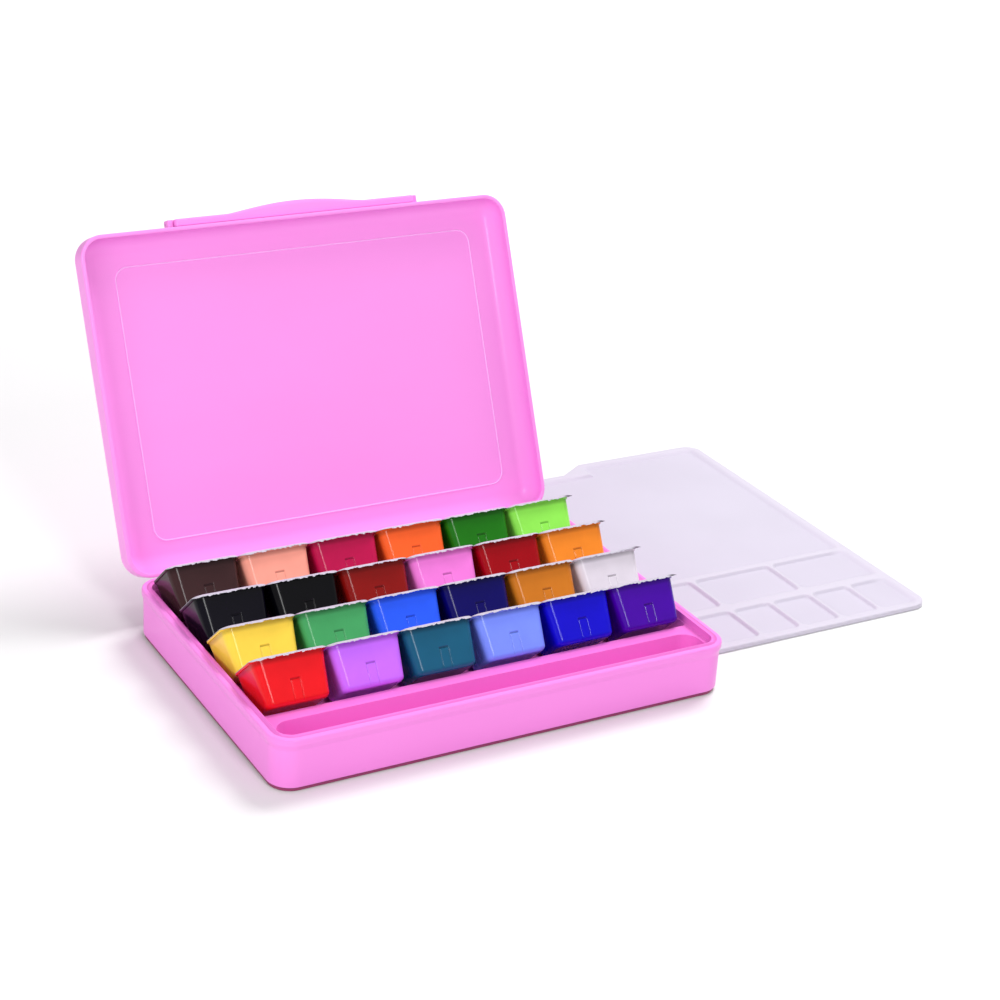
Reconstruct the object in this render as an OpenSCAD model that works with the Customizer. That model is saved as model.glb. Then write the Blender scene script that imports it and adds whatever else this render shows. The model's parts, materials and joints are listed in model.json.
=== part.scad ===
// Gouache paint set box: a hinged case with a cup tray, tipped paint cups and a mixing palette.
// Origin: centre of the case's underside. X runs to the right, Y to the back and Z up.
// The lid stands open, the cups lean back in their rows and the palette lies beside the case.

/* [Case] */
// Height of the base, up to its rim
base_h = 33; // [32:0.5:38]
// Radius of the case's upright corners
corner_r = 15; // [14:0.5:20]
// Width of the rim that shows from above
rim_w = 6.4; // [6.2:0.1:8]
// Height of the band below the rim
band_h = 5; // [4:0.5:8]
// How far the wall stands back under the band
band_step = 1; // [0.6:0.1:1.2]
// Rounding of the band's edges
band_round = 1.2; // [0.6:0.1:1.6]
// Thickness of the base's floor
base_floor = 2.2; // [1.6:0.1:3]
// How far the floor plate stands back under the wall
foot_step = 0.8; // [0.6:0.1:1.6]
// Width of the edge left outside the tray's flange
edge_w = 3.1; // [3:0.1:3.3]

/* [Tray] */
// How far the cups' well stands in from the tray's upper walls
well_step = 0.4; // [0.2:0.1:1]
// Clearance between the tray and the base
tray_play = 0.3; // [0.2:0.05:0.5]
// Thickness of the tray's flange
flange_t = 2; // [1.6:0.1:2.6]
// Thickness of the tray's floors
tray_floor = 1.8; // [1.4:0.1:2.2]
// Depth of the deck below the rim
deck_drop = 5; // [4.5:0.1:6]
// Width of the deck between the brush trough and the cups
deck_w = 8.9; // [8:0.1:16]
// Length of the brush trough
trough_l = 277; // [240:1:279]
// Width of the brush trough
trough_w = 23.3; // [18:0.1:34]
// Depth of the brush trough below the deck
trough_depth = 18; // [12:0.5:20]
// Radius of the trough's back corners
trough_r = 10; // [6:0.5:16]
// Wall left beside the hollow under the deck
deck_web = 1.8; // [1.4:0.1:2.2]

/* [Cups] */
// Distance between cups along a row
cup_pitch = 46.7; // [46.4:0.1:50]
// Distance between rows
row_pitch = 41.6; // [41.6:0.1:46]
// Height of a cup with its flange
cup_h = 28; // [26:0.1:28]
// Width of the flat stretch of a cup's front
cup_flat_w = 36.1; // [30:0.1:36.2]
// Depth of the flat stretch of a cup's side
cup_flat_d = 25.2; // [22:0.1:25.3]
// Radius of a cup's corners at its mouth
cup_r = 4.2; // [4:0.05:4.2]
// Draft of a cup's walls, in degrees
cup_draft = 6; // [4.8:0.1:6.4]
// Thickness of a cup's wall
cup_wall = 0.9; // [0.7:0.05:1]
// Thickness of a cup's bottom
cup_floor = 1.4; // [1:0.1:2]
// Height of the bevel round a cup's bottom
bevel_h = 2.5; // [1.5:0.1:3]
// How far that bevel draws the bottom in
bevel_in = 1.1; // [1:0.05:1.15]
// Width of the flange round a cup's mouth
lip_w = 0.75; // [0.5:0.05:0.75]
// Thickness of that flange
lip_t = 1.2; // [0.8:0.1:1.6]
// Room left above the paint in a cup
paint_drop = 2.5; // [1:0.1:6]
// Thickness of the foil seal
foil_t = 0.3; // [0.1:0.05:0.4]
// How far the cups lean back while the lid stands open, in degrees
cup_tilt = 42; // [34:0.5:42]
// Distance from a lying cup's front edge back to its tilting axis
pivot_back = 23.3; // [22.9:0.1:23.7]
// Height of that axis above the cup's bottom
pivot_up = 18.2; // [17.8:0.1:18.6]
// Height of a lying cup's bottom above the table
cup_lie_z = 15.1; // [14.6:0.1:15.4]
// Gap between a cup and the tray
cup_play = 0.3; // [0.2:0.05:0.5]
// Gap between the outer cups and the tray's side walls
side_play = 1.85; // [0.6:0.05:4]
// Gap between the back row and the tray's back wall
back_play = 1; // [0.3:0.1:4]

/* [Lid] */
// Height of the lid
lid_h = 15; // [14.5:0.5:18]
// Width of the lid's rim
lid_rim = 2.6; // [2.4:0.1:3.2]
// Thickness of the lid's panel
lid_t = 2; // [1.6:0.1:2.2]
// Radius of the hollow's edge inside the lid
lid_fillet = 10; // [6:0.5:11]
// Rounding of the lid's outer edge
lid_round = 3; // [2:0.5:4]
// Gap between the closed lid and the base
lid_gap = 0.3; // [0.2:0.05:0.5]
// How far the lid stands open, in degrees
lid_open = 114; // [95:0.5:120]
// Distance in from the sides to the raised line on the panel
line_side = 23.5; // [20:0.5:40]
// Distance in from the lid's front and back edges to that line
line_end = 20; // [16:0.5:40]
// Width of the raised line
line_w = 0.9; // [0.6:0.1:2]
// Height of the raised line
line_h = 0.4; // [0.2:0.1:0.8]
// Corner radius of the raised line
line_r = 9; // [4:0.5:14]

/* [Hinges] */
// Distance from the middle of the case to each hinge
hinge_x = 92; // [60:1:110]
// Distance from the case's back face to the hinge axis
hinge_back = 1.5; // [1.3:0.1:1.5]
// Depth of the hinge axis below the rim
hinge_drop = 3; // [3:0.1:3.6]
// Radius of the knuckles
knuckle_r = 2.9; // [2.6:0.05:2.9]
// Length of the base's knuckle
base_knuckle = 16; // [10:1:24]
// Length of each of the lid's knuckles
lid_knuckle = 8; // [6:0.5:14]
// Radius of the hinge pin
pin_r = 1.25; // [1:0.05:1.5]
// Running clearance round the pins
pin_play = 0.05; // [0.03:0.01:0.08]
// Gap between neighbouring knuckles
knuckle_gap = 0.3; // [0.2:0.05:0.5]

/* [Handle] */
// Length of the handle bar
handle_l = 166; // [120:1:200]
// Height of the handle bar
handle_h = 11; // [8:0.5:11.4]
// Thickness of the handle bar
handle_t = 4.7; // [4.4:0.1:5.2]
// Length of the grip that swells from its middle
grip_l = 88; // [60:1:110]
// How far the grip swells out
grip_rise = 4.4; // [3:0.1:6]
// Gap between the handle and the lid
handle_gap = 0.35; // [0.3:0.05:0.6]
// Length of each lug that carries the handle
lug_l = 3.7; // [3:0.1:6]
// How far each lug reaches below the handle's round back
lug_foot = 2.7; // [1.5:0.1:4]
// Height of the handle's axis above the lid's rim
handle_axis_z = 11.7; // [11.4:0.1:12.2]
// Radius of the handle's pins
handle_pin_r = 1; // [0.8:0.05:1.2]
// How deep each pin runs into the handle
handle_pin_in = 7; // [4:0.5:12]

/* [Palette] */
// Width of the palette
palette_w = 189; // [170:1:220]
// Length of the palette
palette_l = 281.2; // [250:0.1:300]
// Thickness of the palette
palette_h = 3; // [2.4:0.1:4]
// Distance between the case and the palette
palette_gap = 2; // [1:0.5:20]
// How far the palette's back edge lies behind the case's middle
palette_back = 217; // [180:0.1:230]
// Thickness of the palette's floor
palette_floor = 1; // [0.8:0.1:1.4]
// Width of the palette's rim
palette_rim = 6.6; // [5:0.1:9]
// Width of the ridges between its wells
ridge_w = 3.6; // [2:0.1:5]
// Extra space behind the small wells
row_space = 5; // [2:0.5:10]
// Space in front of the mixing area
mix_space = 6; // [2:0.5:12]
// Distance between the small wells
well_pitch = 31.4; // [26:0.1:40]
// Length of a small well
small_well_l = 35; // [25:0.5:45]
// Length of a medium well
medium_well_l = 37; // [25:0.5:50]
// Radius of the wells' corners
well_r = 4; // [2:0.5:6]
// Radius of the palette's corners
palette_r = 12; // [6:0.5:16]
// Length of the cut in the palette's back left corner
cut_l = 68; // [40:1:90]
// Depth of that cut
cut_d = 12.7; // [6:0.1:20]
// Length of the slope where the cut ends
cut_slope = 20; // [10:1:30]

/* [Hidden] */
$fn = 96;
columns = 6;
rows = 4;

// Colour names and colours of the cups, from the back row's left end to the front row's right end.
paints = [
    ["dark_brown", "#3A2224"], ["salmon", "#F5A08E"], ["crimson", "#B8114B"],
    ["orange", "#F5622A"], ["dark_green", "#1B6F1B"], ["lime", "#86DF45"],
    ["violet_black", "#141020"], ["black", "#0A0A12"], ["brick_red", "#861A18"],
    ["orchid", "#E578D8"], ["deep_red", "#A00018"], ["golden_orange", "#F8902A"],
    ["yellow", "#F8D840"], ["green", "#45A060"], ["blue", "#2A5CF5"],
    ["navy", "#100475"], ["ochre", "#D0802A"], ["white", "#F5EFF5"],
    ["red", "#F82028"], ["lilac", "#C46CFF"], ["teal", "#185A78"],
    ["periwinkle", "#7890FF"], ["ultramarine", "#1A10C8"], ["violet", "#4500A0"]
];
case_colour = "#F792E8";
tray_colour = "#F58AE6";
foil_colour = "#E9E4EA";
palette_colour = "#E8E0F0";
metal_colour = "#C9C9CE";

case_nodes = ["base_shell", "cup_tray", "lid_shell", "lid_hinge_pins", "carry_handle", "handle_pins",
    "mixing_palette"];

// Cup: the radius of its rounded outline at a height, and its outer sizes.
cup_taper = tan(cup_draft);
function cup_radius(u) = cup_r - (cup_h - u) * cup_taper;
lip_r = cup_r + lip_w;
lip_x = cup_flat_w + 2 * lip_r;
lip_y = cup_flat_d + 2 * lip_r;

// Tilting, in a cup's own plane: y back and z up from the tilting axis.
function tip(p) = [p[0] * cos(cup_tilt) + p[1] * sin(cup_tilt), p[1] * cos(cup_tilt) - p[0] * sin(cup_tilt)];
bottom_back = [lip_y / 2 + cup_flat_d / 2 + cup_radius(0) - bevel_in - pivot_back, -pivot_up];
bevel_back = [lip_y / 2 + cup_flat_d / 2 + cup_radius(bevel_h) - pivot_back, bevel_h - pivot_up];
bottom_front = [lip_y / 2 - cup_flat_d / 2 - cup_radius(0) + bevel_in - pivot_back, -pivot_up];
bevel_front = [lip_y / 2 - cup_flat_d / 2 - cup_radius(bevel_h) - pivot_back, bevel_h - pivot_up];
mouth_back = [lip_y - pivot_back, cup_h + foil_t - pivot_up];
pivot_z = cup_lie_z + pivot_up;
tipped_heel = tip(bottom_back);
heel_low = max(norm(bottom_back), norm(bevel_back));
toe_far = max(norm(bottom_front), norm(bevel_front));

// Tray and case sizes follow from the rows of cups.
deck_z = base_h - deck_drop;
front_reach = sqrt(pow(toe_far, 2) - pow(pivot_z - deck_z, 2));
back_reach = norm(mouth_back);
well_d = (rows - 1) * row_pitch + front_reach + back_reach + cup_play + back_play;
inner_w = (columns - 1) * cup_pitch + lip_x + 2 * side_play;
inner_d = trough_w + deck_w + well_d;
box_w = inner_w + 2 * rim_w;
box_d = inner_d + 2 * rim_w;
well_front = box_d / 2 - rim_w - well_d;
trough_back = well_front - deck_w;
first_pivot_y = well_front + cup_play + front_reach;
trough_z = deck_z - trough_depth;
well_z = pivot_z - heel_low - cup_play;
seat_z = pivot_z + min(tipped_heel[1], -pivot_up) - cup_play;
seat_d = 12;
seat_in = 2;
seat_past = 0.1;
wall_in = edge_w + tray_play + 1.5;
inner_r = corner_r - rim_w;
ledge_z = base_h - flange_t;

// Hinge and handle places, with the lid shut.
hinge_y = box_d / 2 + hinge_back;
hinge_z = base_h - hinge_drop;
rim_z = base_h + lid_gap;
notch_play = 0.4;
handle_round = handle_t / 2;
handle_y = -box_d / 2 - handle_gap - handle_round;
handle_z = rim_z + handle_axis_z;
palette_x = box_w / 2 + palette_gap;

// A flat plate with rounded corners, its middle at the origin.
module plate(w, d, r, h) {
    linear_extrude(h) {
        square([w - 2 * r, d], center = true);
        square([w, d - 2 * r], center = true);
        for (x = [-1, 1], y = [-1, 1])
            translate([x * (w / 2 - r), y * (d / 2 - r)]) circle(r);
    }
}

// A plate whose corner is at the origin.
module corner_plate(w, d, r, h) {
    translate([w / 2, d / 2, 0]) plate(w, d, r, h);
}

// Carries a wall's cross-section round a rounded rectangle. In the cross-section x is the
// distance in from the outer edge and y is the height.
module around(w, d, r) {
    for (flip = [0, 1]) {
        mirror([0, flip, 0]) translate([r - w / 2, -d / 2, 0])
            rotate([90, 0, 90]) linear_extrude(w - 2 * r) children();
        mirror([flip, 0, 0]) translate([-w / 2, d / 2 - r, 0])
            rotate([90, 0, 0]) linear_extrude(d - 2 * r) children();
    }
    for (fx = [0, 1], fy = [0, 1])
        mirror([fx, 0, 0]) mirror([0, fy, 0]) translate([w / 2 - r, d / 2 - r, 0])
            rotate_extrude(angle = 90) translate([r, 0]) mirror([1, 0]) children();
}

// A rod along X with its middle at x.
module rod(x, r, l) {
    translate([x - l / 2, 0, 0]) rotate([0, 90, 0]) cylinder(r = r, h = l);
}

// A block whose rounded outline grows from radius r0 at its foot to r1 at its top.
module drafted(w, d, r0, r1, h) {
    rotate([90, 0, 0]) translate([0, 0, -d / 2]) linear_extrude(d)
        polygon([[-w / 2 - r0, 0], [w / 2 + r0, 0], [w / 2 + r1, h], [-w / 2 - r1, h]]);
    rotate([90, 0, 90]) translate([0, 0, -w / 2]) linear_extrude(w)
        polygon([[-d / 2 - r0, 0], [d / 2 + r0, 0], [d / 2 + r1, h], [-d / 2 - r1, h]]);
    for (x = [-1, 1], y = [-1, 1])
        translate([x * w / 2, y * d / 2, 0]) cylinder(r1 = r0, r2 = r1, h = h);
}

// Cross-section of the base's wall with its rim band and the ledge for the tray.
module base_wall() {
    band_z = base_h - band_h;
    difference() {
        union() {
            translate([band_step, base_floor]) square([wall_in - tray_play - band_step, base_h - base_floor - band_round]);
            translate([0, band_z + band_round]) square([wall_in - tray_play, band_h - 2 * band_round]);
            translate([band_round, band_z]) square([wall_in - tray_play - band_round, band_h]);
            translate([band_round, band_z + band_round]) circle(band_round);
            translate([band_round, base_h - band_round]) circle(band_round);
        }
        translate([edge_w, ledge_z]) square([wall_in, flange_t + 1]);
    }
}

module base_shell() {
    foot_in = band_step + foot_step;
    color(case_colour) difference() {
        union() {
            plate(box_w - 2 * foot_in, box_d - 2 * foot_in, corner_r - foot_in, base_floor);
            around(box_w, box_d, corner_r) base_wall();
            translate([0, hinge_y, hinge_z]) for (x = [-hinge_x, hinge_x]) {
                rod(x, knuckle_r, base_knuckle);
                translate([x - base_knuckle / 2, -hinge_back - band_step - 1, -knuckle_r])
                    cube([base_knuckle, hinge_back + band_step + 1, 2 * knuckle_r]);
            }
        }
        translate([0, hinge_y, hinge_z]) for (x = [-hinge_x, hinge_x]) {
            rod(x, pin_r + pin_play, base_knuckle + 2);
            for (side = [-1, 1]) {
                notch_l = lid_knuckle + 2 * knuckle_gap;
                notch_x = x + side * (base_knuckle + notch_l) / 2;
                rod(notch_x, knuckle_r + notch_play, notch_l);
                translate([notch_x - notch_l / 2, -knuckle_r - notch_play, 0])
                    cube([notch_l, 2 * knuckle_r, hinge_drop + 1]);
            }
        }
    }
}

// Outline of the brush trough: its front is the tray's own front wall.
module trough_outline() {
    run_out = 30;
    intersection() {
        linear_extrude(base_h) {
            square([inner_w - 2 * inner_r, inner_d], center = true);
            square([inner_w, inner_d - 2 * inner_r], center = true);
            for (x = [-1, 1], y = [-1, 1])
                translate([x * (inner_w / 2 - inner_r), y * (inner_d / 2 - inner_r)]) circle(inner_r);
        }
        translate([0, trough_back - (trough_w + run_out) / 2, 0])
            plate(trough_l, trough_w + run_out, trough_r, base_h);
    }
}

module cup_tray() {
    under_z = trough_z - tray_floor;
    well_r0 = 3;
    color(tray_colour) difference() {
        union() {
            translate([0, 0, under_z])
                plate(box_w - 2 * wall_in, box_d - 2 * wall_in, corner_r - wall_in, ledge_z - under_z);
            translate([0, 0, ledge_z]) plate(box_w - 2 * (edge_w + tray_play),
                box_d - 2 * (edge_w + tray_play), corner_r - edge_w - tray_play, flange_t);
        }
        translate([0, 0, deck_z]) plate(inner_w, inner_d, inner_r, base_h);
        translate([0, 0, trough_z]) trough_outline();
        difference() {
            translate([well_step - inner_w / 2, well_front, well_z]) union() {
                corner_plate(inner_w - 2 * well_step, well_d - well_step, inner_r - well_step, base_h);
                corner_plate(inner_w - 2 * well_step, well_d - inner_r, well_r0, base_h);
            }
            for (k = [0 : rows - 1])
                translate([seat_in - inner_w / 2, first_pivot_y + k * row_pitch + tipped_heel[0] - seat_d + seat_past, 0])
                    cube([inner_w - 2 * seat_in, seat_d, seat_z]);
        }
        // The tray is thin: it is hollow under the well and under the deck.
        translate([-inner_w / 2, well_front, -base_h])
            corner_plate(inner_w, well_d, inner_r, base_h + well_z - tray_floor);
        translate([-trough_l / 2, trough_back + deck_web, -base_h])
            cube([trough_l, deck_w - 2 * deck_web, base_h + deck_z - tray_floor]);
    }
}

// Cross-section of the lid's wall and the edge of its panel, from the lid's rim up.
module lid_wall() {
    reach = lid_rim + lid_fillet + 1;
    hollow_h = lid_h - lid_t;
    difference() {
        union() {
            square([reach, lid_h - lid_round]);
            translate([lid_round, 0]) square([reach - lid_round, lid_h]);
            translate([lid_round, lid_h - lid_round]) circle(lid_round);
        }
        translate([lid_rim, -1]) square([lid_fillet, hollow_h - lid_fillet + 1]);
        translate([lid_rim + lid_fillet, -1]) square([reach, hollow_h + 1]);
        translate([lid_rim + lid_fillet, hollow_h - lid_fillet]) circle(lid_fillet);
    }
}

// Turns what is drawn with the lid shut to where it is with the lid open.
module opened() {
    translate([0, hinge_y, hinge_z]) rotate([-lid_open, 0, 0]) translate([0, -hinge_y, -hinge_z]) children();
}

module lid_shell() {
    panel_in = lid_rim + lid_fillet;
    line_x = box_w - 2 * line_side;
    line_y = box_d - 2 * line_end;
    arm_h = hinge_drop + lid_gap + 2;
    lug_h = handle_t / 2 + lug_foot;
    color(case_colour) opened() difference() {
        union() {
            translate([0, 0, rim_z]) around(box_w, box_d, corner_r) lid_wall();
            translate([0, 0, rim_z + lid_h - lid_t])
                plate(box_w - 2 * panel_in, box_d - 2 * panel_in, corner_r - panel_in, lid_t);
            translate([0, 0, rim_z + lid_h - lid_t - line_h]) difference() {
                plate(line_x, line_y, line_r, line_h + 0.5);
                translate([0, 0, -1]) plate(line_x - 2 * line_w, line_y - 2 * line_w, line_r - line_w, line_h + 2);
            }
            translate([0, hinge_y, hinge_z]) for (x = [-hinge_x, hinge_x], side = [-1, 1]) {
                knuckle_x = x + side * (base_knuckle / 2 + knuckle_gap + lid_knuckle / 2);
                rod(knuckle_x, knuckle_r, lid_knuckle);
                translate([knuckle_x - lid_knuckle / 2, 0.1 - knuckle_r, 0])
                    cube([lid_knuckle, knuckle_r + 1, arm_h]);
            }
            for (side = [-1, 1]) {
                lug_x = side * (handle_l / 2 + knuckle_gap + lug_l / 2);
                translate([lug_x - lug_l / 2, handle_y, handle_z - lug_h])
                    cube([lug_l, -box_d / 2 - handle_y + 1, lug_h + handle_round]);
                translate([0, handle_y, handle_z]) rod(lug_x, handle_round, lug_l);
                translate([lug_x - lug_l / 2, handle_y - handle_round, handle_z - lug_h])
                    cube([lug_l, handle_round, lug_h]);
            }
        }
        translate([0, hinge_y, hinge_z]) for (x = [-hinge_x, hinge_x])
            rod(x, pin_r + pin_play, base_knuckle + 2 * (knuckle_gap + lid_knuckle) + 2);
        translate([0, handle_y, handle_z]) for (side = [-1, 1])
            rod(side * (handle_l / 2 + knuckle_gap + lug_l / 2), handle_pin_r + pin_play, lug_l + 2);
    }
}

module lid_hinge_pins() {
    color(metal_colour) translate([0, hinge_y, hinge_z]) for (x = [-hinge_x, hinge_x])
        rod(x, pin_r, base_knuckle + 2 * (knuckle_gap + lid_knuckle));
}

module carry_handle() {
    drop = handle_h - handle_round;
    grip_r = (pow(grip_l / 2, 2) + pow(grip_rise, 2)) / (2 * grip_rise);
    color(case_colour) opened() translate([0, handle_y, handle_z]) difference() {
        union() {
            rod(0, handle_round, handle_l);
            translate([-handle_l / 2, -handle_round, -drop]) cube([handle_l, handle_t, drop]);
            translate([0, 0, -drop]) linear_extrude(drop) intersection() {
                translate([0, grip_r - handle_round - grip_rise]) circle(grip_r);
                translate([-grip_l / 2, -handle_round - grip_rise]) square([grip_l, grip_rise + 1]);
            }
        }
        for (side = [-1, 1])
            rod(side * (handle_l - handle_pin_in) / 2, handle_pin_r + pin_play, handle_pin_in + 1);
    }
}

module handle_pins() {
    pin_l = handle_pin_in + knuckle_gap + lug_l - 0.5;
    color(metal_colour) opened() translate([0, handle_y, handle_z]) for (side = [-1, 1])
        rod(side * (handle_l / 2 + knuckle_gap + lug_l - pin_l / 2), handle_pin_r, pin_l);
}

module mixing_palette() {
    front_y = palette_back - palette_l;
    pocket_h = palette_h;
    right = palette_w - palette_rim;
    small_y = palette_rim;
    medium_y = small_y + small_well_l + ridge_w + row_space;
    mix_y = medium_y + medium_well_l + mix_space;
    mix_w = palette_w - 2 * palette_rim;
    color(palette_colour) translate([palette_x, front_y, 0]) difference() {
        corner_plate(palette_w, palette_l, palette_r, palette_h);
        translate([0, palette_l, -1]) linear_extrude(palette_h + 2)
            polygon([[-1, 1], [-1, -cut_d], [cut_l, -cut_d], [cut_l + cut_slope, 0], [cut_l + cut_slope, 1]]);
        translate([0, 0, palette_floor]) {
            for (x = [right : -well_pitch : palette_rim + ridge_w + 2 * well_r]) {
                left = max(palette_rim, x - well_pitch + ridge_w);
                translate([left, small_y, 0]) corner_plate(x - left, small_well_l, well_r, pocket_h);
            }
            for (x = [right : -2 * well_pitch : palette_rim + ridge_w + 2 * well_r]) {
                left = max(palette_rim, x - 2 * well_pitch + ridge_w);
                translate([left, medium_y, 0]) corner_plate(x - left, medium_well_l, well_r, pocket_h);
            }
            translate([palette_rim, mix_y, 0])
                corner_plate(mix_w, palette_l - mix_y - palette_rim - cut_d, palette_r / 2, pocket_h);
            translate([cut_l + cut_slope, mix_y, 0])
                corner_plate(right - cut_l - cut_slope, palette_l - mix_y - palette_rim, palette_r / 2, pocket_h);
        }
    }
}

// Puts what is drawn as a lying cup, with its front edge at y = 0, in its tipped place.
module tipped(i) {
    row = rows - 1 - floor(i / columns);
    x = (i % columns - (columns - 1) / 2) * cup_pitch;
    translate([x, first_pivot_y + row * row_pitch, pivot_z]) rotate([-cup_tilt, 0, 0])
        translate([0, lip_y / 2 - pivot_back, -pivot_up]) children();
}

// One paint cup with the paint in it.
module paint_cup() {
    paint_gap = 0.05;
    cavity_foot = cup_radius(cup_floor) - cup_wall;
    paint_top = cup_h - paint_drop;
    difference() {
        union() {
            drafted(cup_flat_w, cup_flat_d, cup_radius(0) - bevel_in, cup_radius(bevel_h), bevel_h);
            translate([0, 0, bevel_h])
                drafted(cup_flat_w, cup_flat_d, cup_radius(bevel_h), cup_r, cup_h - bevel_h);
            translate([0, 0, cup_h - lip_t]) plate(lip_x, lip_y, lip_r, lip_t);
        }
        translate([0, 0, cup_floor]) drafted(cup_flat_w, cup_flat_d, cavity_foot,
            cavity_foot + (cup_h - cup_floor + 1) * cup_taper, cup_h - cup_floor + 1);
    }
    translate([0, 0, cup_floor + paint_gap]) drafted(cup_flat_w, cup_flat_d, cavity_foot - paint_gap,
        cup_radius(paint_top) - cup_wall - paint_gap, paint_top - cup_floor - paint_gap);
}

module cup(i) {
    color(paints[i][1]) tipped(i) paint_cup();
}

module seal(i) {
    color(foil_colour) tipped(i) translate([0, 0, cup_h]) plate(lip_x, lip_y, lip_r, foil_t);
}

base_shell();
cup_tray();
lid_shell();
lid_hinge_pins();
carry_handle();
handle_pins();
mixing_palette();
for (i = [0 : len(paints) - 1]) {
    cup(i);
    seal(i);
}
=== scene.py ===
import json
import math
import bmesh
import bpy
import numpy as np
from mathutils import Matrix, Vector


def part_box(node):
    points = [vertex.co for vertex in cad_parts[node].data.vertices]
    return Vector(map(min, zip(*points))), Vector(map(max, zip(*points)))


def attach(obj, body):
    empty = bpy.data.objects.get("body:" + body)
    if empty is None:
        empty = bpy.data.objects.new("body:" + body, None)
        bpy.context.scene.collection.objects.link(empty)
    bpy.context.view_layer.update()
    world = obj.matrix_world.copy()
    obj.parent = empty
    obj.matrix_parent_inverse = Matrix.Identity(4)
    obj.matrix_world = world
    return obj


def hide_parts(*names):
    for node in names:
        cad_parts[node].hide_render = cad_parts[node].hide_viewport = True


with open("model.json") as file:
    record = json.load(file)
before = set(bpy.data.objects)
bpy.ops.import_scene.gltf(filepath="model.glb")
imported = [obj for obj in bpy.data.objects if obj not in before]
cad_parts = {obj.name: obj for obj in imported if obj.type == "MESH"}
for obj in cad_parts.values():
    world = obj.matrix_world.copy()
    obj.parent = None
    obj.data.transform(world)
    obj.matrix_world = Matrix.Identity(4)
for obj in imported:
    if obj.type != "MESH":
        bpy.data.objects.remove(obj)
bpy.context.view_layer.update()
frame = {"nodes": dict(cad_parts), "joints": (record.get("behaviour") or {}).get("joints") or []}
mm = 0.001


# Everything is drawn where it lies with the lid shut and the cups flat, then turned to rest.
def jointNamed(name):
    return next(j for j in frame["joints"] if j["name"] == name)


# Points drawn at a hinge's far limit, turned back about its axis to where they are at rest.
def turnedBack(points, name):
    j = jointNamed(name)
    angle = -math.radians(j["range_deg"][1]) * j["axis"][0]
    pivot = np.array(j["pos_m"])
    c, s = math.cos(angle), math.sin(angle)
    turn = np.array([[1, 0, 0], [0, c, -s], [0, s, c]])
    return (np.asarray(points) - pivot) @ turn.T + pivot


# Quads between neighbouring rings, each ring closed on itself.
def ringFaces(ringCount, around, wrap=False):
    rows = np.arange(ringCount if wrap else ringCount - 1)[:, None] * around
    cols = np.arange(around)[None, :]
    right = (cols + 1) % around
    up = (rows + around) % (ringCount * around)
    return np.stack([rows + cols, rows + right, up + right, up + cols], -1).reshape(-1, 4)


# Triangles from one pole to a closed ring.
def fan(ring, pole):
    return np.stack([ring, np.roll(ring, -1), np.full(len(ring), pole)], -1)


# A closed skin over a stack of rings, with a pole at the middle of the first and the last.
def capped(rings):
    count, around = rings.shape[:2]
    points = np.vstack([rings.reshape(-1, 3), rings[0].mean(0), rings[-1].mean(0)])
    first = np.arange(around)
    quads = ringFaces(count, around)
    tris = np.vstack([fan(first, count * around)[:, [1, 0, 2]],
                      fan(first + (count - 1) * around, count * around + 1)])
    return outward(points, quads, tris)


# A closed skin over rings that come round to the first one again.
def hooped(rings):
    return outward(rings.reshape(-1, 3), ringFaces(*rings.shape[:2], wrap=True), np.zeros((0, 3), int))


# The same skin, turned inside out if its signed volume is negative.
def outward(points, quads, tris):
    split = np.vstack([quads[:, [0, 1, 2]], quads[:, [0, 2, 3]], tris])
    a, b, c = (points[split[:, k]] for k in range(3))
    if np.einsum("ij,ij->i", a, np.cross(b, c)).sum() < 0:
        quads, tris = quads[:, ::-1], tris[:, ::-1]
    return points, quads, tris


# One mesh object from closed skins, riding on a body.
def makePiece(name, skins, body, material, replaced, sharp=50, marked=None):
    points = np.vstack([s[0] for s in skins])
    starts = np.cumsum([0] + [len(s[0]) for s in skins])
    quads = np.vstack([s[1] + n for s, n in zip(skins, starts)])
    tris = np.vstack([s[2] + n for s, n in zip(skins, starts)])
    mesh = bpy.data.meshes.new(name)
    mesh.vertices.add(len(points))
    mesh.vertices.foreach_set("co", points.astype(np.float32).ravel())
    mesh.loops.add(quads.size + tris.size)
    mesh.loops.foreach_set("vertex_index", np.concatenate([quads.ravel(), tris.ravel()]).astype(np.int32))
    mesh.polygons.add(len(quads) + len(tris))
    begin = np.concatenate([np.arange(len(quads)) * 4, quads.size + np.arange(len(tris)) * 3])
    mesh.polygons.foreach_set("loop_start", begin.astype(np.int32))
    # The "pressed" mask tells a material where to change colour: painted shade on the cups, a painted
    # highlight on the lid's raised line, and the darker corner tabs on the seals.
    if marked is not None:
        mesh.attributes.new("pressed", "FLOAT", "POINT").data.foreach_set("value", marked.astype(np.float32))
    mesh.update(calc_edges=True)
    mesh.validate()
    mesh.polygons.foreach_set("use_smooth", np.ones(len(mesh.polygons), bool))
    mesh.set_sharp_from_angle(angle=math.radians(sharp))
    piece = bpy.data.objects.new(name, mesh)
    bpy.context.scene.collection.objects.link(piece)
    mesh.materials.append(material)
    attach(piece, body)
    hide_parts(*replaced)


# A polyline whose corners are arcs, with a point held close to each end of every long straight.
def roundedLine(corners, radii, steps=6, hold=0.25):
    corners = np.array(corners, float)
    line = [corners[0]]
    for before, here, after, radius in zip(corners[:-2], corners[1:-1], corners[2:], radii):
        inDir = (before - here) / np.linalg.norm(before - here)
        outDir = (after - here) / np.linalg.norm(after - here)
        half = math.acos(np.clip(inDir @ outDir, -1, 1)) / 2
        reach = radius / math.tan(half)
        start, end = here + inDir * reach, here + outDir * reach
        centre = here + (inDir + outDir) / np.linalg.norm(inDir + outDir) * radius / math.sin(half)
        sweep = math.pi - 2 * half
        share = np.linspace(0, 1, steps + 1)[:, None]
        arc = centre + (np.sin((1 - share) * sweep) * (start - centre)
                        + np.sin(share * sweep) * (end - centre)) / math.sin(sweep)
        line += [start + inDir * hold, *arc, end + outDir * hold]
    line.append(corners[-1])
    return np.array(line)


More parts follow.
